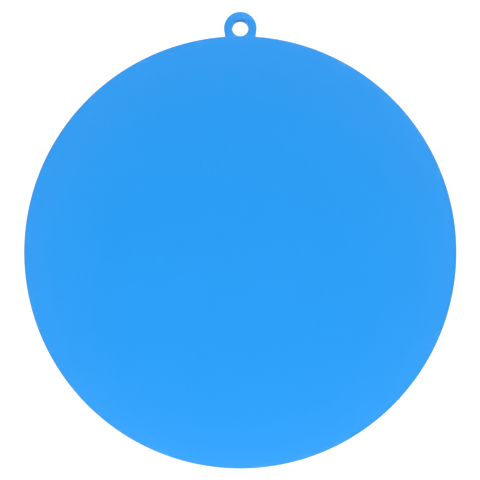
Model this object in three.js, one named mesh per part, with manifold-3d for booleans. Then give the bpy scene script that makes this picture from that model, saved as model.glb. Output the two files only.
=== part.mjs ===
// A light blue practice hockey puck with a flat hanging eye screwed into its rim.
//
// Millimetres, +Z up. The puck lies flat: the origin is the centre of its bottom
// face, Z is the axis of the disc, and the eye stands out of the rim along +Y.

import * as THREE from "three";
import { mergeVertices, toCreasedNormals } from "three/addons/utils/BufferGeometryUtils.js";
import Module from "manifold-3d";

// Puck body: 3 in across and 1 in thick, the regulation size
const INCH = 25.4;
const PUCK_RADIUS = 1.5 * INCH;
const PUCK_THICKNESS = INCH;
const EDGE_RADIUS = 0.8;
const EDGE_STEPS = 4;
const PUCK_SIDES = 96;

// Hanging eye: a flat ring on a strap-like neck, a round collar and a screw shank.
// Distances along the shank are measured from the puck's axis.
const RING_CENTRE = 41.3;
const RING_RADIUS = 3.0;
const HOLE_RADIUS = 1.5;
const RING_THICKNESS = 2.5;
const NECK_WIDTH = 5.7;
const COLLAR_RADIUS = 4.5;
const COLLAR_HEIGHT = 1.5;
const COLLAR_CHAMFER = 0.3;
const SHANK_RADIUS = 2.0;
const SHANK_LENGTH = 10.5;
const SHANK_POINT = 0.6;

// Threaded insert: a brass sleeve bonded in the rim, waisted so that rubber grips it
const INSERT_RADIUS = 3.0;
const INSERT_LENGTH = 12.0;
const INSERT_CHAMFER = 0.4;
const WAIST_LENGTH = 3.0;
const WAIST_DEPTH = 0.6;

const GAP = 0.3; // clearance between pieces that touch on the real object
const ROUND_SIDES = 40; // facets round the eye, its shank and the insert

// The collar seats on a spot face cut into the rim, and the socket runs in from there.
const SPOT_FACE = 37.2;
const COLLAR_SEAT = SPOT_FACE + GAP;
const COLLAR_TOP = COLLAR_SEAT + COLLAR_HEIGHT;
const INSERT_OUTER_END = SPOT_FACE - GAP;
const INSERT_INNER_END = INSERT_OUTER_END - INSERT_LENGTH;
const SOCKET_END = INSERT_INNER_END - GAP;
const MID_HEIGHT = PUCK_THICKNESS / 2;

const PUCK_BLUE = 0x2d9ff7;
const EYE_BLUE = 0x3ca0f2;
const BRASS = 0xb98d3e;

const wasm = await Module();
wasm.setup();

// A closed three.js geometry as a solid that can be cut and joined.
function toSolid(geometry) {
  const bare = geometry.clone();
  bare.deleteAttribute("normal");
  bare.deleteAttribute("uv");
  const merged = mergeVertices(bare);
  return new wasm.Manifold(
    new wasm.Mesh({
      numProp: 3,
      vertProperties: merged.getAttribute("position").array,
      triVerts: new Uint32Array(merged.index.array),
    }),
  );
}

// A solid back as a three.js geometry, with its edges kept sharp.
function toGeometry(solid) {
  const { vertProperties, triVerts } = solid.getMesh();
  const geometry = new THREE.BufferGeometry();
  geometry.setAttribute("position", new THREE.BufferAttribute(vertProperties, 3));
  geometry.setIndex(new THREE.BufferAttribute(triVerts, 1));
  return toCreasedNormals(geometry, Math.PI / 6);
}

// [radius, height] pairs turned about the Y axis.
function turned(profile, sides) {
  const points = profile.map(([radius, height]) => new THREE.Vector2(radius, height));
  return new THREE.LatheGeometry(points, sides);
}

function quarterRound(centreRadius, centreHeight, startAngle) {
  return Array.from({ length: EDGE_STEPS + 1 }, (_, i) => {
    const angle = startAngle + (i / EDGE_STEPS) * (Math.PI / 2);
    return [
      centreRadius + EDGE_RADIUS * Math.cos(angle),
      centreHeight + EDGE_RADIUS * Math.sin(angle),
    ];
  });
}

function named(name, geometry, material) {
  const mesh = new THREE.Mesh(geometry, material);
  mesh.name = name;
  return mesh;
}

// The moulded rubber disc, with a stepped blind socket in its rim for the insert and the collar.
function puckBody() {
  const flatRadius = PUCK_RADIUS - EDGE_RADIUS;
  const disc = turned(
    [
      [0, 0],
      ...quarterRound(flatRadius, EDGE_RADIUS, -Math.PI / 2),
      ...quarterRound(flatRadius, PUCK_THICKNESS - EDGE_RADIUS, 0),
      [0, PUCK_THICKNESS],
    ],
    PUCK_SIDES,
  ).rotateX(Math.PI / 2);

  const outsideRim = PUCK_RADIUS + 1;
  const socket = turned(
    [
      [0, SOCKET_END],
      [INSERT_RADIUS + GAP, SOCKET_END],
      [INSERT_RADIUS + GAP, SPOT_FACE],
      [COLLAR_RADIUS + GAP, SPOT_FACE],
      [COLLAR_RADIUS + GAP, outsideRim],
      [0, outsideRim],
    ],
    ROUND_SIDES,
  ).translate(0, 0, MID_HEIGHT);

  const material = new THREE.MeshStandardMaterial({ color: PUCK_BLUE, roughness: 0.6, metalness: 0 });
  return named("puck_body", toGeometry(toSolid(disc).subtract(toSolid(socket))), material);
}

// The sleeve that holds the shank: open at both ends, with a waist halfway along.
function threadedInsert() {
  const bore = SHANK_RADIUS + GAP;
  const middle = (INSERT_INNER_END + INSERT_OUTER_END) / 2;
  const waist = INSERT_RADIUS - WAIST_DEPTH;
  const outside = [
    [INSERT_RADIUS - INSERT_CHAMFER, INSERT_INNER_END],
    [INSERT_RADIUS, INSERT_INNER_END + INSERT_CHAMFER],
    [INSERT_RADIUS, middle - WAIST_LENGTH / 2],
    [waist, middle - WAIST_LENGTH / 2],
    [waist, middle + WAIST_LENGTH / 2],
    [INSERT_RADIUS, middle + WAIST_LENGTH / 2],
    [INSERT_RADIUS, INSERT_OUTER_END - INSERT_CHAMFER],
    [INSERT_RADIUS - INSERT_CHAMFER, INSERT_OUTER_END],
  ];
  const sleeve = turned(
    [[bore, INSERT_INNER_END], ...outside, [bore, INSERT_OUTER_END], [bore, INSERT_INNER_END]],
    ROUND_SIDES,
  ).translate(0, 0, MID_HEIGHT);

  const material = new THREE.MeshStandardMaterial({ color: BRASS, roughness: 0.35, metalness: 0.9 });
  return named("threaded_insert", sleeve, material);
}

// The flat ring and neck: a round-headed tab with a hole, cut from plate.
function eyePlate() {
  const neck = NECK_WIDTH / 2;
  const neckAngle = Math.acos(neck / RING_RADIUS); // where each flank leaves the ring
  const root = COLLAR_TOP - COLLAR_HEIGHT / 2; // inside the collar
  const outline = new THREE.Shape();
  outline.moveTo(neck, root);
  outline.absarc(0, RING_CENTRE, RING_RADIUS, -neckAngle, Math.PI + neckAngle, false);
  outline.lineTo(-neck, root);
  outline.closePath();

  const hole = new THREE.Path();
  hole.absarc(0, RING_CENTRE, HOLE_RADIUS, 0, 2 * Math.PI, true);
  outline.holes.push(hole);

  return new THREE.ExtrudeGeometry(outline, {
    depth: RING_THICKNESS,
    bevelEnabled: false,
    curveSegments: ROUND_SIDES,
  }).translate(0, 0, MID_HEIGHT - RING_THICKNESS / 2);
}

// The ring, its neck, the collar that stops on the spot face, and the shank, in one moulding.
function hangEyelet() {
  const tip = COLLAR_SEAT - SHANK_LENGTH;
  const stem = turned(
    [
      [0, tip],
      [SHANK_RADIUS - SHANK_POINT, tip],
      [SHANK_RADIUS, tip + SHANK_POINT],
      [SHANK_RADIUS, COLLAR_SEAT],
      [COLLAR_RADIUS - COLLAR_CHAMFER, COLLAR_SEAT],
      [COLLAR_RADIUS, COLLAR_SEAT + COLLAR_CHAMFER],
      [COLLAR_RADIUS, COLLAR_TOP - COLLAR_CHAMFER],
      [COLLAR_RADIUS - COLLAR_CHAMFER, COLLAR_TOP],
      [0, COLLAR_TOP],
    ],
    ROUND_SIDES,
  ).translate(0, 0, MID_HEIGHT);

  const material = new THREE.MeshStandardMaterial({ color: EYE_BLUE, roughness: 0.45, metalness: 0 });
  return named("hang_eyelet", toGeometry(toSolid(stem).add(toSolid(eyePlate()))), material);
}

const puck = new THREE.Group();
puck.add(puckBody(), threadedInsert(), hangEyelet());

export default puck;
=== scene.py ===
"""A light blue practice hockey puck with a screw-in hanging eye, seen from straight above.

The puck lies flat on the floor with its axis along Z, and the eye stands out of the rim along +Y.
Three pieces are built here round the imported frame: the moulded puck, the brass insert in its rim
and the eye. Lengths are in metres, and MM turns the millimetres of a drawing into them.
"""

import math

import bpy
import numpy as np
from mathutils import Matrix, Vector


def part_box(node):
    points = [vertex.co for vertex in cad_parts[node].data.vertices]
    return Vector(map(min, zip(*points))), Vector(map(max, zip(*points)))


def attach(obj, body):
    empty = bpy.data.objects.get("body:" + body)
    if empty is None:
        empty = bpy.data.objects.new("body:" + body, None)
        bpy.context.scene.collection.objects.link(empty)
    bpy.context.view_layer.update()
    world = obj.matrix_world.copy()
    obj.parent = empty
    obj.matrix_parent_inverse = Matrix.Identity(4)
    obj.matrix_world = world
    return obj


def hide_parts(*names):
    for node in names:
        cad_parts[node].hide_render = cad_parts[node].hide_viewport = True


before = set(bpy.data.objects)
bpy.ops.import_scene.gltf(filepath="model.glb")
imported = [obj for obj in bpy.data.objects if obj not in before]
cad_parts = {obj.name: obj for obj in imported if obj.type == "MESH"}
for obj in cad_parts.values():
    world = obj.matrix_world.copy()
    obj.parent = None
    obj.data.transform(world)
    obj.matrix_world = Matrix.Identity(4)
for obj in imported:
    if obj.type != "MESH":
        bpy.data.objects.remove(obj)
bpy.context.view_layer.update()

MM = 0.001
TAU = 2 * math.pi

# ---------------------------------------------------------------- sizes from the frame

body_low, body_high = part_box("puck_body")
insert_low, insert_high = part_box("threaded_insert")
eye_low, eye_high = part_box("hang_eyelet")

PUCK_RADIUS = body_high.x
PUCK_BOTTOM, PUCK_TOP = body_low.z, body_high.z
MID_HEIGHT = (PUCK_BOTTOM + PUCK_TOP) / 2
HALF_THICKNESS = (PUCK_TOP - PUCK_BOTTOM) / 2
EYE_TOP = eye_high.y
COLLAR_RADIUS = eye_high.x
SHANK_TIP = eye_low.y
INSERT_RADIUS = insert_high.x
INSERT_INNER, INSERT_OUTER = insert_low.y, insert_high.y

# ---------------------------------------------------------------- driving dimensions

EDGE_RADIUS = 0.8 * MM  # rounding between a face and the rim
EDGE_STEPS = 6
FACE_RADIUS = PUCK_RADIUS - EDGE_RADIUS  # of the flat part

# Diamond pattern round the rim: pads left between two families of crossing grooves
DIAMONDS_ROUND = 100
DIAMONDS_HIGH = 7
CELL_STEPS = 10  # mesh steps across one diamond, both ways
GROOVE_SHARE = 0.2  # a groove's half width as a share of the distance between grooves
GROOVE_DEPTH = 0.36 * MM
BAND_HEIGHT = 16.8 * MM
PAD_SINK = 0.05 * MM  # pads lie this far inside the plain rim
PAD_UNEVENNESS = np.random.default_rng(3).uniform(0, 0.14, (DIAMONDS_ROUND, DIAMONDS_ROUND))
PARTING_HALF_WIDTH = 0.36 * MM
RIM_COLUMNS = DIAMONDS_ROUND * CELL_STEPS

# Rings of a flat face, from the middle out: how far out, as a share of the face's radius, and how
# many times fewer points than the rim has
FACE_RINGS = (
    (0.10, 8), (0.22, 8), (0.36, 8), (0.50, 8),
    (0.62, 4), (0.74, 4), (0.86, 4),
    (0.94, 2),
    (1.00, 1),
)

# Hanging eye
RING_RADIUS = 3.0 * MM
HOLE_RADIUS = 1.5 * MM
RING_THICKNESS = 2.5 * MM
NECK_WIDTH = 5.7 * MM
PLATE_EDGE = 0.15 * MM  # softening of the ring's and the neck's edges
PLATE_EDGE_STEPS = 3
HEAD_POINTS = 65
HOLE_POINTS = 64
COLLAR_HEIGHT = 1.5 * MM
COLLAR_EDGE = 0.3 * MM
COLLAR_EDGE_STEPS = 4
NECK_FILLET = 0.55 * MM
FILLET_STEPS = 6
FILLET_ROOT = 0.3 * MM  # depth of the fillet's foot inside the collar
CORNER_STEPS = 6  # round each corner of the neck's section
SHANK_LENGTH = 10.5 * MM
SHANK_PLAIN = 1.0 * MM  # length without a thread, next to the collar
SHANK_POINT = 0.2 * MM  # the tip's radius is less than the thread's root by this much
SHANK_COLUMNS = 64

RING_CENTRE = EYE_TOP - RING_RADIUS
COLLAR_SEAT = SHANK_TIP + SHANK_LENGTH
COLLAR_TOP = COLLAR_SEAT + COLLAR_HEIGHT
THREADED_LENGTH = SHANK_LENGTH - SHANK_PLAIN

# Screw thread, shared by the shank and the insert
THREAD_PITCH = 0.7 * MM
THREAD_ROOT = 1.6 * MM
THREAD_DEPTH = 0.4 * MM
THREAD_CLEARANCE = 0.05 * MM
THREAD_ROOT_SHARE = 0.12  # flat root, as a share of half a pitch
THREAD_FLANK_SHARE = 0.68  # sloping flank, likewise, the rest being the flat crest
THREAD_ROWS = 16  # mesh rows in one pitch of the shank, and half as many in the insert

# Insert: two knurled bands with a waist between them
INSERT_COLUMNS = 144
INSERT_CHAMFER = 0.4 * MM
HALF_WAIST = 1.5 * MM
WAIST_DEPTH = 0.6 * MM
FLUTES = 24
FLUTE_DEPTH = 0.18 * MM
FLUTE_STEEPNESS = 1.8
FLUTE_LEAN = 0.6  # sideways travel round the insert for each length along it
KNURL_ROWS = 17
MOUTH_DEPTH = 0.5 * MM  # length of the countersink at each end of the bore
MOUTH_RELIEF = 0.25 * MM  # its outer end is this much wider in radius than the shank

# Socket in the rim: a bore for the insert and a spot face for the collar
SEAT_GAP = 0.05 * MM  # between the spot face and the collar
SPOT_FACE = COLLAR_SEAT - SEAT_GAP
SPOT_CLEARANCE = 0.25 * MM
BORE_CLEARANCE = 0.1 * MM
BORE_END_CLEARANCE = 0.3 * MM
CUTTER_OVERSHOOT = 2 * MM  # the socket's cutter runs this far out of the rim
SOCKET_COLUMNS = 64

# ---------------------------------------------------------------- mesh tools


def after(ring):
    """The ring one place on, so that zip pairs each point with the next."""
    return ring[1:] + ring[:1]


class Skin:
    """A closed surface grown ring by ring.

    Rings run anticlockwise seen from the high end of their axis, and the first is at the low end,
    so that every face looks outwards.
    """

    def __init__(self):
        self.points = []
        self.faces = []
        self.rings = []

    def ring(self, points, rising=None):
        """Adds a ring and joins it to the one before, which may have half or twice as many points.

        rising says, for each point, whether the face after it is split along its rising diagonal.
        """
        start = len(self.points)
        self.points.extend(map(tuple, points))
        ring = list(range(start, start + len(points)))
        if self.rings and rising is not None:
            self._join_split(self.rings[-1], ring, rising)
        elif self.rings:
            self._join(self.rings[-1], ring)
        self.rings.append(ring)

    def begin(self, points, tip):
        """Adds the first ring and closes it at the low end with a fan to the tip."""
        self.ring(points)
        self.points.append(tuple(tip))
        pole = len(self.points) - 1
        ring = self.rings[-1]
        self.faces += [(pole, b, a) for a, b in zip(ring, after(ring))]

    def end(self, tip):
        """Closes the last ring at the high end with a fan to the tip."""
        self.points.append(tuple(tip))
        pole = len(self.points) - 1
        ring = self.rings[-1]
        self.faces += [(a, b, pole) for a, b in zip(ring, after(ring))]

    def close(self):
        """Joins the last ring to the first, for a surface with a hole through it."""
        self._join(self.rings[-1], self.rings[0])

    def _join(self, low, high):
        """Joins two rings that are as long, or of which one is half as long."""
        if len(low) == len(high):
            self.faces += zip(low, after(low), after(high), high)
        elif len(low) < len(high):
            evens, odds = high[::2], high[1::2]
            for left, right, a, b, c in zip(low, after(low), evens, odds, after(evens)):
                self.faces += [(left, right, b), (left, b, a), (right, c, b)]
        else:
            evens, odds = low[::2], low[1::2]
            for left, right, a, b, c in zip(high, after(high), evens, odds, after(evens)):
                self.faces += [(a, b, left), (b, right, left), (b, c, right)]

    def _join_split(self, low, high, rising):
        """Joins two rings with triangles that follow the diagonals asked for."""
        for a, b, c, d, rises in zip(low, after(low), after(high), high, rising):
            if rises:
                self.faces += [(a, b, c), (a, c, d)]
            else:
                self.faces += [(a, b, d), (b, c, d)]

    def build(self, name):
        """The surface as an object."""
        mesh = bpy.data.meshes.new(name)
        mesh.from_pydata(self.points, [], self.faces)
        mesh.validate()
        return linked(name, mesh)


def linked(name, data):
    """A new object in the scene that shows the data."""
    obj = bpy.data.objects.new(name, data)
    bpy.context.scene.collection.objects.link(obj)
    return obj


def angles(count):
    """That many evenly spaced angles round one turn."""
    return np.arange(count) * TAU / count


def around_z(radius, z, count):
    """A ring about the puck's axis. radius is one number or one for each point."""
    a = angles(count)
    return np.stack([radius * np.cos(a), radius * np.sin(a), np.full(count, z)], axis=1)


def around_y(radius, y, count):
    """A ring about the axis of the eye's shank. radius is one number or one for each point."""
    a = angles(count)
    return np.stack([radius * np.sin(a), np.full(count, y), MID_HEIGHT + radius * np.cos(a)], axis=1)


def quarter_round(radius, height, size, start, steps):
    """(radius, height) pairs of a quarter circle of that size, from the start angle upwards."""
    turn = np.linspace(start, start + math.pi / 2, steps + 1)
    return [(radius + size * math.cos(t), height + size * math.sin(t)) for t in turn]


def combine(target, tool, operation):
    """Cuts or joins target with tool, and removes tool."""
    modifier = target.modifiers.new(operation, "BOOLEAN")
    modifier.operation = operation
    modifier.object = tool
    modifier.solver = "EXACT"
    graph = bpy.context.evaluated_depsgraph_get()
    old = target.data
    target.data = bpy.data.meshes.new_from_object(target.evaluated_get(graph), depsgraph=graph)
    target.modifiers.clear()
    bpy.data.meshes.remove(old)
    bpy.data.objects.remove(tool)


def smooth(obj, sharp_degrees):
    """Smooth shading that keeps the edges sharper than that angle."""
    obj.data.polygons.foreach_set("use_smooth", [True] * len(obj.data.polygons))
    obj.data.set_sharp_from_angle(angle=math.radians(sharp_degrees))


# ---------------------------------------------------------------- the moulded puck


def to_grooves(columns, row):
    """Distances to the nearest groove of the rising and of the falling family, 0.5 being halfway."""
    across_rising = (columns - row) / CELL_STEPS
    across_falling = (columns + row) / CELL_STEPS
    rising = abs(across_rising - np.round(across_rising))
    falling = abs(across_falling - np.round(across_falling))
    return rising, falling


def pad_height(columns, row):
    """1 on the highest pads of the diamond pattern, a little less on others, 0 deep in a groove."""
    rising_cell = np.floor((columns - row) / CELL_STEPS).astype(int)
    falling_cell = np.floor((columns + row) / CELL_STEPS).astype(int)
    unevenness = PAD_UNEVENNESS[rising_cell % DIAMONDS_ROUND, falling_cell % DIAMONDS_ROUND]
    return np.clip(np.minimum(*to_grooves(columns, row)) / GROOVE_SHARE, 0, 1 - unevenness)


def rising_split(row):
    """Which faces below a row of the band are split along the rising grooves, to keep them clean."""
    rising, falling = to_grooves(np.arange(RIM_COLUMNS) + 0.5, row - 0.5)
    return rising < falling


def band_radius(row, z):
    """The rim's radius at every column of one row of the diamond band."""
    columns = np.arange(RIM_COLUMNS)
    pattern = PUCK_RADIUS - PAD_SINK - GROOVE_DEPTH * (1 - pad_height(columns, row))
    fin = max(0.0, 1 - abs(z - MID_HEIGHT) / PARTING_HALF_WIDTH)
    fin_radius = PUCK_RADIUS - (PAD_SINK + GROOVE_DEPTH) * (1 - fin)
    return np.minimum(np.maximum(pattern, fin_radius), PUCK_RADIUS)


def add_band(skin):
    """The diamond band, with two rings of plain rim below it and two above."""
    rows = DIAMONDS_HIGH * CELL_STEPS
    for row in range(-2, rows + 3):
        z = MID_HEIGHT - BAND_HEIGHT / 2 + row * (BAND_HEIGHT / rows)
        if 0 <= row <= rows:
            skin.ring(around_z(band_radius(row, z), z, RIM_COLUMNS), rising_split(row))
        else:
            skin.ring(around_z(PUCK_RADIUS, z, RIM_COLUMNS))


def face_rings(z):
    """The rings of a flat face from the middle out, with more points as they widen."""
    return [around_z(share * FACE_RADIUS, z, RIM_COLUMNS // fewer) for share, fewer in FACE_RINGS]


def make_puck():
    """The rubber disc, grown from the middle of its bottom face to the middle of its top face."""
    bottom, top = face_rings(PUCK_BOTTOM), face_rings(PUCK_TOP)
    lower_edge = quarter_round(
        FACE_RADIUS, PUCK_BOTTOM + EDGE_RADIUS, EDGE_RADIUS, -math.pi / 2, EDGE_STEPS
    )
    upper_edge = quarter_round(FACE_RADIUS, PUCK_TOP - EDGE_RADIUS, EDGE_RADIUS, 0, EDGE_STEPS)

    skin = Skin()
    skin.begin(bottom[0], (0, 0, PUCK_BOTTOM))
    for ring in bottom[1:]:
        skin.ring(ring)
    for radius, z in lower_edge[1:]:
        skin.ring(around_z(radius, z, RIM_COLUMNS))
    add_band(skin)
    for radius, z in upper_edge:
        skin.ring(around_z(radius, z, RIM_COLUMNS))
    for ring in top[-2::-1]:
        skin.ring(ring)
    skin.end((0, 0, PUCK_TOP))

    puck = skin.build("moulded_puck")
    combine(puck, make_socket_cutter(), "DIFFERENCE")
    smooth(puck, sharp_degrees=50)
    return puck


def make_socket_cutter():
    """The shape of the stepped blind hole in the rim, for the insert and the collar."""
    bore = INSERT_RADIUS + BORE_CLEARANCE
    spot = COLLAR_RADIUS + SPOT_CLEARANCE
    inner_end = INSERT_INNER - BORE_END_CLEARANCE
    outer_end = PUCK_RADIUS + CUTTER_OVERSHOOT
    skin = Skin()
    skin.begin(around_y(bore, inner_end, SOCKET_COLUMNS), (0, inner_end, MID_HEIGHT))
    skin.ring(around_y(bore, SPOT_FACE, SOCKET_COLUMNS))
    skin.ring(around_y(spot, SPOT_FACE, SOCKET_COLUMNS))
    skin.ring(around_y(spot, outer_end, SOCKET_COLUMNS))
    skin.end((0, outer_end, MID_HEIGHT))
    return skin.build("socket_cutter")


# ---------------------------------------------------------------- thread and insert


def thread_radius(y, count):
    """The surface of the screw thread at every column of one ring about the shank's axis."""
    turn = (y / THREAD_PITCH - angles(count) / TAU) % 1
    ridge = 1 - abs(2 * turn - 1)
    return THREAD_ROOT + THREAD_DEPTH * np.clip((ridge - THREAD_ROOT_SHARE) / THREAD_FLANK_SHARE, 0, 1)


def knurled_band(low, high, lean):
    """(radius, y) of each ring of one knurled band, whose flutes lean that much to one side."""
    rings = []
    for y in np.linspace(low, high, KNURL_ROWS):
        around = angles(INSERT_COLUMNS) / TAU + lean * y / (TAU * INSERT_RADIUS)
        wave = around * FLUTES % 1
        ridge = np.clip((1 - abs(2 * wave - 1)) * FLUTE_STEEPNESS, 0, 1)
        rings.append((INSERT_RADIUS - FLUTE_DEPTH * (1 - ridge), y))
    return rings


def make_insert():
    """The brass sleeve: knurled and waisted outside, with a thread inside."""
    middle = (INSERT_INNER + INSERT_OUTER) / 2
    waist_low, waist_high = middle - HALF_WAIST, middle + HALF_WAIST
    waist = INSERT_RADIUS - WAIST_DEPTH
    shoulder = INSERT_RADIUS - INSERT_CHAMFER
    mouth = THREAD_ROOT + THREAD_DEPTH + MOUTH_RELIEF
    outside = [
        (mouth, INSERT_INNER),
        (shoulder, INSERT_INNER),
        *knurled_band(INSERT_INNER + INSERT_CHAMFER, waist_low, FLUTE_LEAN),
        (waist, waist_low),
        (waist, waist_high),
        *knurled_band(waist_high, INSERT_OUTER - INSERT_CHAMFER, -FLUTE_LEAN),
        (shoulder, INSERT_OUTER),
        (mouth, INSERT_OUTER),
    ]
    skin = Skin()
    for radius, y in outside:
        skin.ring(around_y(radius, y, INSERT_COLUMNS))

    rows = int((INSERT_OUTER - INSERT_INNER - 2 * MOUTH_DEPTH) / THREAD_PITCH * THREAD_ROWS / 2)
    for y in np.linspace(INSERT_OUTER - MOUTH_DEPTH, INSERT_INNER + MOUTH_DEPTH, rows):
        radius = thread_radius(y, INSERT_COLUMNS) + THREAD_CLEARANCE
        skin.ring(around_y(radius, y, INSERT_COLUMNS))
    skin.close()

    insert = skin.build("knurled_insert")
    smooth(insert, sharp_degrees=40)
    return insert


# ---------------------------------------------------------------- the screw-in eye


def shank_ring(y):
    """One ring of the threaded shank. The thread starts from a point and runs out before the collar."""
    point = THREAD_ROOT - SHANK_POINT + (y - SHANK_TIP)
    run_out = THREAD_ROOT + (SHANK_TIP + THREADED_LENGTH - y)
    radius = np.minimum(thread_radius(y, SHANK_COLUMNS), min(point, run_out))
    return around_y(radius, y, SHANK_COLUMNS)


def make_stem():
    """The shank with its thread, and the collar that seats on the rim."""
    rows = int(THREADED_LENGTH / THREAD_PITCH * THREAD_ROWS)
    heights = np.linspace(SHANK_TIP, SHANK_TIP + THREADED_LENGTH, rows)
    inner = COLLAR_RADIUS - COLLAR_EDGE
    low_edge, high_edge = COLLAR_SEAT + COLLAR_EDGE, COLLAR_TOP - COLLAR_EDGE
    collar = [
        *quarter_round(inner, low_edge, COLLAR_EDGE, -math.pi / 2, COLLAR_EDGE_STEPS),
        *quarter_round(inner, high_edge, COLLAR_EDGE, 0, COLLAR_EDGE_STEPS),
    ]
    skin = Skin()
    skin.begin(shank_ring(heights[0]), (0, SHANK_TIP, MID_HEIGHT))
    for y in heights[1:]:
        skin.ring(shank_ring(y))
    skin.ring(around_y(THREAD_ROOT, COLLAR_SEAT, SHANK_COLUMNS))
    for radius, y in collar:
        skin.ring(around_y(radius, y, SHANK_COLUMNS))
    skin.end((0, COLLAR_TOP, MID_HEIGHT))
    return skin.build("screw_eye")


def plate_outline():
    """The neck's flanks and the round head, which meet where the head is as wide as the neck."""
    neck = NECK_WIDTH / 2
    lean = math.acos(neck / RING_RADIUS)
    sweep = np.linspace(-lean, math.pi + lean, HEAD_POINTS)
    head = [(RING_RADIUS * math.cos(t), RING_CENTRE + RING_RADIUS * math.sin(t)) for t in sweep]
    root = COLLAR_TOP - COLLAR_HEIGHT / 2
    return [(neck, root), *head, (-neck, root)]


def hole_outline():
    """The hole, which runs the other way round from the outline of the plate."""
    turn = -angles(HOLE_POINTS)
    return [(HOLE_RADIUS * math.cos(t), RING_CENTRE + HOLE_RADIUS * math.sin(t)) for t in turn]


def make_plate():
    """The flat ring and its neck: a round-headed tab with a hole and softened edges."""
    curve = bpy.data.curves.new("eye_plate", "CURVE")
    curve.dimensions = "2D"
    curve.fill_mode = "BOTH"
    curve.extrude = RING_THICKNESS / 2 - PLATE_EDGE
    curve.bevel_depth = PLATE_EDGE
    curve.bevel_resolution = PLATE_EDGE_STEPS
    curve.offset = -PLATE_EDGE  # the bevel grows back out to the outline
    for points in (plate_outline(), hole_outline()):
        spline = curve.splines.new("POLY")
        spline.points.add(len(points) - 1)
        for point, (x, y) in zip(spline.points, points):
            point.co = (x, y, 0, 1)
        spline.use_cyclic_u = True

    shape = linked("eye_plate_curve", curve)
    graph = bpy.context.evaluated_depsgraph_get()
    mesh = bpy.data.meshes.new_from_object(shape.evaluated_get(graph), depsgraph=graph)
    bpy.data.objects.remove(shape)
    mesh.transform(Matrix.Translation((0, 0, MID_HEIGHT)))
    return linked("eye_plate", mesh)


def rounded_rectangle(spread, y):
    """The neck's section grown outwards by spread, as a ring about the shank's axis."""
    corner = PLATE_EDGE + spread
    half_x = NECK_WIDTH / 2 - PLATE_EDGE
    half_z = RING_THICKNESS / 2 - PLATE_EDGE
    points = []
    for quarter, (side_x, side_z) in enumerate(((1, 1), (1, -1), (-1, -1), (-1, 1))):
        for step in range(CORNER_STEPS + 1):
            turn = (quarter + step / CORNER_STEPS) * math.pi / 2
            x = side_x * half_x + corner * math.sin(turn)
            z = MID_HEIGHT + side_z * half_z + corner * math.cos(turn)
            points.append((x, y, z))
    return points


def make_fillet():
    """The flare at the foot of the neck, where it runs out into the collar."""
    foot = COLLAR_TOP - FILLET_ROOT
    skin = Skin()
    skin.begin(rounded_rectangle(NECK_FILLET, foot), (0, foot, MID_HEIGHT))
    for step in range(FILLET_STEPS + 1):
        turn = step / FILLET_STEPS * math.pi / 2
        spread = NECK_FILLET * (1 - math.sin(turn))
        y = COLLAR_TOP + NECK_FILLET * (1 - math.cos(turn))
        skin.ring(rounded_rectangle(spread, y))
    skin.end((0, COLLAR_TOP + NECK_FILLET, MID_HEIGHT))
    return skin.build("neck_fillet")


def make_eye():
    """The eye in one moulding: shank, collar, flared neck and ring."""
    eye = make_stem()
    combine(eye, make_fillet(), "UNION")
    combine(eye, make_plate(), "UNION")
    smooth(eye, sharp_degrees=35)
    return eye


# ---------------------------------------------------------------- material tools


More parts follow.
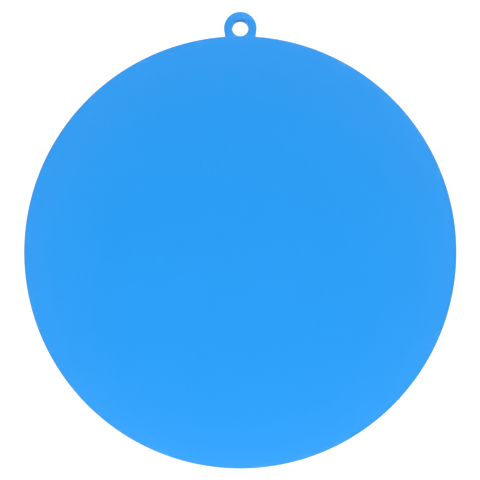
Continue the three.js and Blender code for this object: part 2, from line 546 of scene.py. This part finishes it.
class Material:
    """A node material under construction. x, y, z and place are the surface point in metres."""

    def __init__(self, name):
        self.material = bpy.data.materials.new(name)
        self.material.use_nodes = True
        self.tree = self.material.node_tree
        self.shader = self.tree.nodes["Principled BSDF"]
        self.place = self.node("ShaderNodeTexCoord").outputs["Object"]
        self.x, self.y, self.z = self.node("ShaderNodeSeparateXYZ", Vector=self.place).outputs

    def node(self, kind, settings=(), **inputs):
        """A new node. settings are its properties, and inputs its sockets, with _ for a space."""
        made = self.tree.nodes.new(kind)
        for key, value in dict(settings).items():
            setattr(made, key, value)
        for key, value in inputs.items():
            self.put(made.inputs[key.replace("_", " ")], value)
        return made

    def put(self, socket, value):
        """Links a node's output to the socket, or sets a constant on it."""
        if isinstance(value, bpy.types.NodeSocket):
            self.tree.links.new(value, socket)
        else:
            socket.default_value = value

    def math(self, operation, *values):
        """The output of a Math node."""
        made = self.node("ShaderNodeMath", {"operation": operation})
        for socket, value in zip(made.inputs, values):
            self.put(socket, value)
        return made.outputs[0]

    def product(self, first, *others):
        """All the values multiplied."""
        for other in others:
            first = self.math("MULTIPLY", first, other)
        return first

    def distance(self, across, along):
        """Distance from an axis of a point that lies that far across and that far along."""
        squares = self.math("ADD", self.product(across, across), self.product(along, along))
        return self.math("SQRT", squares)

    def from_height(self, height):
        """Distance above or below that height."""
        return self.math("ABSOLUTE", self.math("SUBTRACT", self.z, height))

    def ramp(self, value, low, high, to_low=0.0, to_high=1.0):
        """value carried from low..high to to_low..to_high, smoothly and no further."""
        made = self.node(
            "ShaderNodeMapRange",
            {"interpolation_type": "SMOOTHSTEP"},
            Value=value,
            From_Min=low,
            From_Max=high,
            To_Min=to_low,
            To_Max=to_high,
        )
        return made.outputs["Result"]

    def noise(self, size, detail, roughness=0.5, stretch=(1, 1, 1)):
        """Noise from about 0 to 1 with features of that size in metres."""
        scaled = self.node("ShaderNodeMapping", Vector=self.place, Scale=[s / size for s in stretch])
        made = self.node(
            "ShaderNodeTexNoise",
            Vector=scaled.outputs[0],
            Scale=1.0,
            Detail=detail,
            Roughness=roughness,
        )
        return made.outputs["Fac"]

    def mix(self, share, a, b):
        """Colour a, turning into colour b as share goes from 0 to 1."""
        made = self.node("ShaderNodeMix", {"data_type": "RGBA"}, Factor=share)
        self.put(made.inputs[6], a)  # the colour sockets come after those for numbers and vectors
        self.put(made.inputs[7], b)
        return made.outputs[2]

    def bump(self, height, depth, over=None):
        """Relief on top of other relief. height from 0 to 1 stands for depth in metres."""
        made = self.node("ShaderNodeBump", Height=height, Distance=depth, Strength=1.0)
        if over is not None:
            self.put(made.inputs["Normal"], over)
        return made.outputs[0]

    def finish(self, colour, roughness, normal, **constants):
        """The finished material. constants are set directly on the shader's own sockets."""
        self.put(self.shader.inputs["Base Color"], colour)
        self.put(self.shader.inputs["Roughness"], roughness)
        self.put(self.shader.inputs["Normal"], normal)
        for key, value in constants.items():
            self.shader.inputs[key.replace("_", " ")].default_value = value
        return self.material


# ---------------------------------------------------------------- materials

PUCK_BLUE = (0.0052, 0.227, 0.632, 1)
PUCK_BLUE_DEEP = (0.0044, 0.219, 0.610, 1)
GROOVE_SHADE_AND_DIRT_BLUE = (0.004, 0.12, 0.36, 1)
PAINTED_SHEEN_WHITE = (0.62, 0.74, 0.86, 1)
# Faded blue for wear, also used as painted light inside the eye's hole
FADED_AND_LIT = (0.16, 0.48, 0.86, 1)

RIM_SHEEN = 0.018  # share of painted sheen at the edge of a face
RIM_SHEEN_POWER = 5.0  # the higher, the closer to the edge it keeps
SCUFFING = 0.12  # share of faded rubber in the scuffs of the rounded edge
GROOVE_SHADE_AND_DIRT = 0.35  # share of painted shade and dirt in the bottom of a groove
PAD_RUBBING = 0.18  # share of faded rubber on rubbed pads
TOOL_MARKS = 0.45 * MM  # spacing of the fine rings that the turned mould leaves on the faces

# The eye's blue is painted lighter than the puck's, to make up for the shade that the rim throws on the
# eye
EYE_BLUE_PAINTED_LIGHTER = (0.0200, 0.298, 0.728, 1)
EYE_BLUE_DEEP_PAINTED_LIGHTER = (0.0170, 0.286, 0.704, 1)
HOLE_WEAR_AND_LIGHT = 0.6  # share of paler plastic in the hole: partly wear where a cord has rubbed it, partly painted light on the hole's shaded wall
SEAM_HALF_WIDTH = 0.07 * MM

BRASS = (0.80, 0.55, 0.22, 1)
TARNISHED = (0.55, 0.33, 0.12, 1)

# The floor's paper is dim, because its glow makes it white
PAPER = (0.22, 0.22, 0.22, 1)
PAPER_DEEP = (0.20, 0.20, 0.20, 1)
# The glow is turned down under the puck, which paints part of its shadow
GLOW_IN_PAINTED_SHADOW = 0.3
GLOW_BESIDE_PUCK = 0.92


def puck_colour(m, radius, from_middle):
    """Mottled blue with a faint painted sheen towards the rim, scuffed at the edge, darker in grooves
    with painted shade and some dirt, and rubbed on pads.
    """
    colour = m.mix(m.noise(9 * MM, detail=3), PUCK_BLUE_DEEP, PUCK_BLUE)
    # Painted sheen: the rubber pales towards the rim
    outwards = m.math("POWER", m.math("DIVIDE", radius, PUCK_RADIUS), RIM_SHEEN_POWER)
    colour = m.mix(m.product(outwards, RIM_SHEEN), colour, PAINTED_SHEEN_WHITE)

    at_rim = m.ramp(radius, PUCK_RADIUS - 2 * EDGE_RADIUS, PUCK_RADIUS - 0.1 * MM)
    at_face = m.ramp(from_middle, HALF_THICKNESS - 2 * EDGE_RADIUS, HALF_THICKNESS - 0.1 * MM)
    scuffs = m.ramp(m.noise(2.2 * MM, detail=4, roughness=0.65), 0.5, 0.75)
    colour = m.mix(m.product(at_rim, at_face, scuffs, SCUFFING), colour, FADED_AND_LIT)

    in_band = m.ramp(from_middle, BAND_HEIGHT / 2 + 0.3 * MM, BAND_HEIGHT / 2)
    # Painted shade, with some dirt, darkens the bottom of the grooves
    grooves = m.ramp(radius, PUCK_RADIUS - PAD_SINK, PUCK_RADIUS - GROOVE_DEPTH)
    colour = m.mix(m.product(grooves, in_band, GROOVE_SHADE_AND_DIRT), colour, GROOVE_SHADE_AND_DIRT_BLUE)
    pads = m.ramp(radius, PUCK_RADIUS - 0.12 * MM, PUCK_RADIUS - 0.04 * MM)
    rubbed = m.ramp(m.noise(5 * MM, detail=5, roughness=0.7), 0.5, 0.72)
    return m.mix(m.product(pads, in_band, rubbed, PAD_RUBBING), colour, FADED_AND_LIT)


def puck_rubber():
    """Matte moulded rubber."""
    m = Material("puck_rubber")
    radius = m.distance(m.x, m.y)
    colour = puck_colour(m, radius, m.from_height(MID_HEIGHT))
    rough = m.ramp(m.noise(6 * MM, detail=4), 0.3, 0.7, to_low=0.5, to_high=0.6)
    rings = m.math("SINE", m.product(radius, TAU / TOOL_MARKS))
    normal = m.bump(m.noise(0.3 * MM, detail=3, roughness=0.6), depth=0.02 * MM)
    normal = m.bump(m.noise(2.5 * MM, detail=2), depth=0.03 * MM, over=normal)
    normal = m.bump(rings, depth=0.0012 * MM, over=normal)
    return m.finish(colour, rough, normal, Specular_IOR_Level=0.2)


def eye_plastic():
    """Satin moulded plastic with a fine mould seam, paler inside the hole from wear and from painted
    light on its shaded wall.
    """
    m = Material("eye_plastic")
    from_hole = m.distance(m.x, m.math("SUBTRACT", m.y, RING_CENTRE))
    in_hole = m.ramp(from_hole, HOLE_RADIUS + 0.2 * MM, HOLE_RADIUS)
    rubbed = m.ramp(m.noise(0.5 * MM, detail=3, roughness=0.6), 0.35, 0.65, to_low=0.6, to_high=1.0)
    # The eye's blue, painted lighter against the rim's shade, mottled at random
    colour = m.mix(m.noise(1.6 * MM, detail=3), EYE_BLUE_DEEP_PAINTED_LIGHTER, EYE_BLUE_PAINTED_LIGHTER)
    # Paler inside the hole: partly cord wear, partly painted light that lifts the shade on the hole's
    # wall
    colour = m.mix(m.product(in_hole, rubbed, HOLE_WEAR_AND_LIGHT), colour, FADED_AND_LIT)

    rough = m.ramp(m.noise(0.8 * MM, detail=3), 0.3, 0.7, to_low=0.36, to_high=0.46)
    seam = m.ramp(m.from_height(MID_HEIGHT), SEAM_HALF_WIDTH, 0.0)
    normal = m.bump(m.noise(0.18 * MM, detail=3, roughness=0.6), depth=0.006 * MM)
    normal = m.bump(seam, depth=0.03 * MM, over=normal)
    return m.finish(colour, rough, normal, Specular_IOR_Level=0.25)


def insert_brass():
    """Turned brass, tarnished in patches."""
    m = Material("insert_brass")
    tarnish = m.ramp(m.noise(1.2 * MM, detail=4, roughness=0.6), 0.35, 0.7)
    colour = m.mix(tarnish, BRASS, TARNISHED)
    rough = m.ramp(m.noise(0.7 * MM, detail=3), 0.3, 0.7, to_low=0.24, to_high=0.38)
    turned = m.noise(0.25 * MM, detail=3, stretch=(0.05, 1, 0.05))
    return m.finish(colour, rough, m.bump(turned, depth=0.008 * MM), Metallic=1.0)


def floor_paper():
    """Paper that glows, so that it is white beside the puck. Under and just beside the puck its shadow
    is partly cast and partly painted, by a glow turned down there.
    """
    m = Material("floor_paper")
    from_axis = m.distance(m.x, m.y)
    glow_start, glow_full = PUCK_RADIUS - 1 * MM, PUCK_RADIUS + 4.2 * MM
    # Painted shadow: the glow is turned down under and just beside the puck
    glow = m.ramp(from_axis, glow_start, glow_full, GLOW_IN_PAINTED_SHADOW, GLOW_BESIDE_PUCK)
    m.put(m.shader.inputs["Emission Strength"], glow)
    colour = m.mix(m.noise(8 * MM, detail=4), PAPER_DEEP, PAPER)
    normal = m.bump(m.noise(0.6 * MM, detail=3), depth=0.01 * MM)
    return m.finish(colour, 0.8, normal, Emission_Color=(1, 1, 1, 1), Specular_IOR_Level=0.1)


# ---------------------------------------------------------------- pieces on their body


def dress(obj, material, node):
    """Gives a piece its material and its body, and hides the CAD node it stands for."""
    obj.data.materials.clear()
    obj.data.materials.append(material)
    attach(obj, "root")
    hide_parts(node)


dress(make_puck(), puck_rubber(), "puck_body")
dress(make_insert(), insert_brass(), "threaded_insert")
dress(make_eye(), eye_plastic(), "hang_eyelet")

# ---------------------------------------------------------------- stage, light and camera

FLOOR_HALF_SIZE = 4.0
FLOOR_GAP = 0.05 * MM  # between the floor and the puck
SKY_AT_HORIZON = 1.0
SKY_OVERHEAD = 0.35

CAMERA_HEIGHT = 227.2 * MM  # above the top face
CAMERA_AIM = (-0.05 * MM, 2.17 * MM)  # a little towards the eye, so that puck and eye share the frame
CAMERA_LENS_MM = 97
CAMERA_SENSOR_MM = 36


def make_floor():
    """A square of paper just below the puck."""
    size, z = FLOOR_HALF_SIZE, PUCK_BOTTOM - FLOOR_GAP
    corners = [(-size, -size, z), (size, -size, z), (size, size, z), (-size, size, z)]
    mesh = bpy.data.meshes.new("floor")
    mesh.from_pydata(corners, [], [(0, 1, 2, 3)])
    mesh.materials.append(floor_paper())
    linked("floor", mesh)


def make_world():
    """A studio sky that is brightest at the horizon and dimmer overhead."""
    world = bpy.data.worlds.new("studio")
    world.use_nodes = True
    bpy.context.scene.world = world
    nodes, links = world.node_tree.nodes, world.node_tree.links
    background = nodes["Background"]
    direction = nodes.new("ShaderNodeTexCoord")
    split = nodes.new("ShaderNodeSeparateXYZ")
    fade = nodes.new("ShaderNodeMapRange")
    fade.inputs["To Min"].default_value = SKY_AT_HORIZON
    fade.inputs["To Max"].default_value = SKY_OVERHEAD
    background.inputs["Color"].default_value = (1, 1, 1, 1)
    links.new(direction.outputs["Generated"], split.inputs[0])
    links.new(split.outputs["Z"], fade.inputs["Value"])
    links.new(fade.outputs["Result"], background.inputs["Strength"])


def make_softbox(name, place, size, power):
    """A small square light at that place, turned towards the middle of the puck."""
    light = bpy.data.lights.new(name, "AREA")
    light.size = size
    light.energy = power
    obj = linked(name, light)
    obj.location = place
    aim = Vector((0, 0, MID_HEIGHT)) - Vector(place)
    obj.rotation_mode = "QUATERNION"
    obj.rotation_quaternion = aim.to_track_quat("-Z", "Y")


def make_sun(name, strength, breadth, tilt, turn):
    """A broad soft light from far away.

    It starts straight above and is tilted about X, then turned about Z. All angles are in degrees.
    """
    light = bpy.data.lights.new(name, "SUN")
    light.energy = strength
    light.angle = math.radians(breadth)
    linked(name, light).rotation_euler = (math.radians(tilt), 0, math.radians(turn))


def make_camera():
    """The camera looks straight down at the top face."""
    data = bpy.data.cameras.new("camera")
    data.lens = CAMERA_LENS_MM
    data.sensor_width = CAMERA_SENSOR_MM
    data.clip_start = 10 * MM
    camera = linked("camera", data)
    camera.location = (*CAMERA_AIM, PUCK_TOP + CAMERA_HEIGHT)
    bpy.context.scene.camera = camera


make_floor()
make_world()
# The main light is on the eye's side, so that the rim doesn't shade the eye
make_sun("overhead", strength=2.06, breadth=50, tilt=-38, turn=-28)
# This one is on the left, so that the rounded edge is even all round
make_sun("side_fill", strength=0.7, breadth=40, tilt=55, turn=-70)
make_softbox("low_fill", place=(0.0, -0.16, 0.16), size=0.12, power=0.2)
make_camera()
bpy.context.scene.view_settings.view_transform = "Standard"
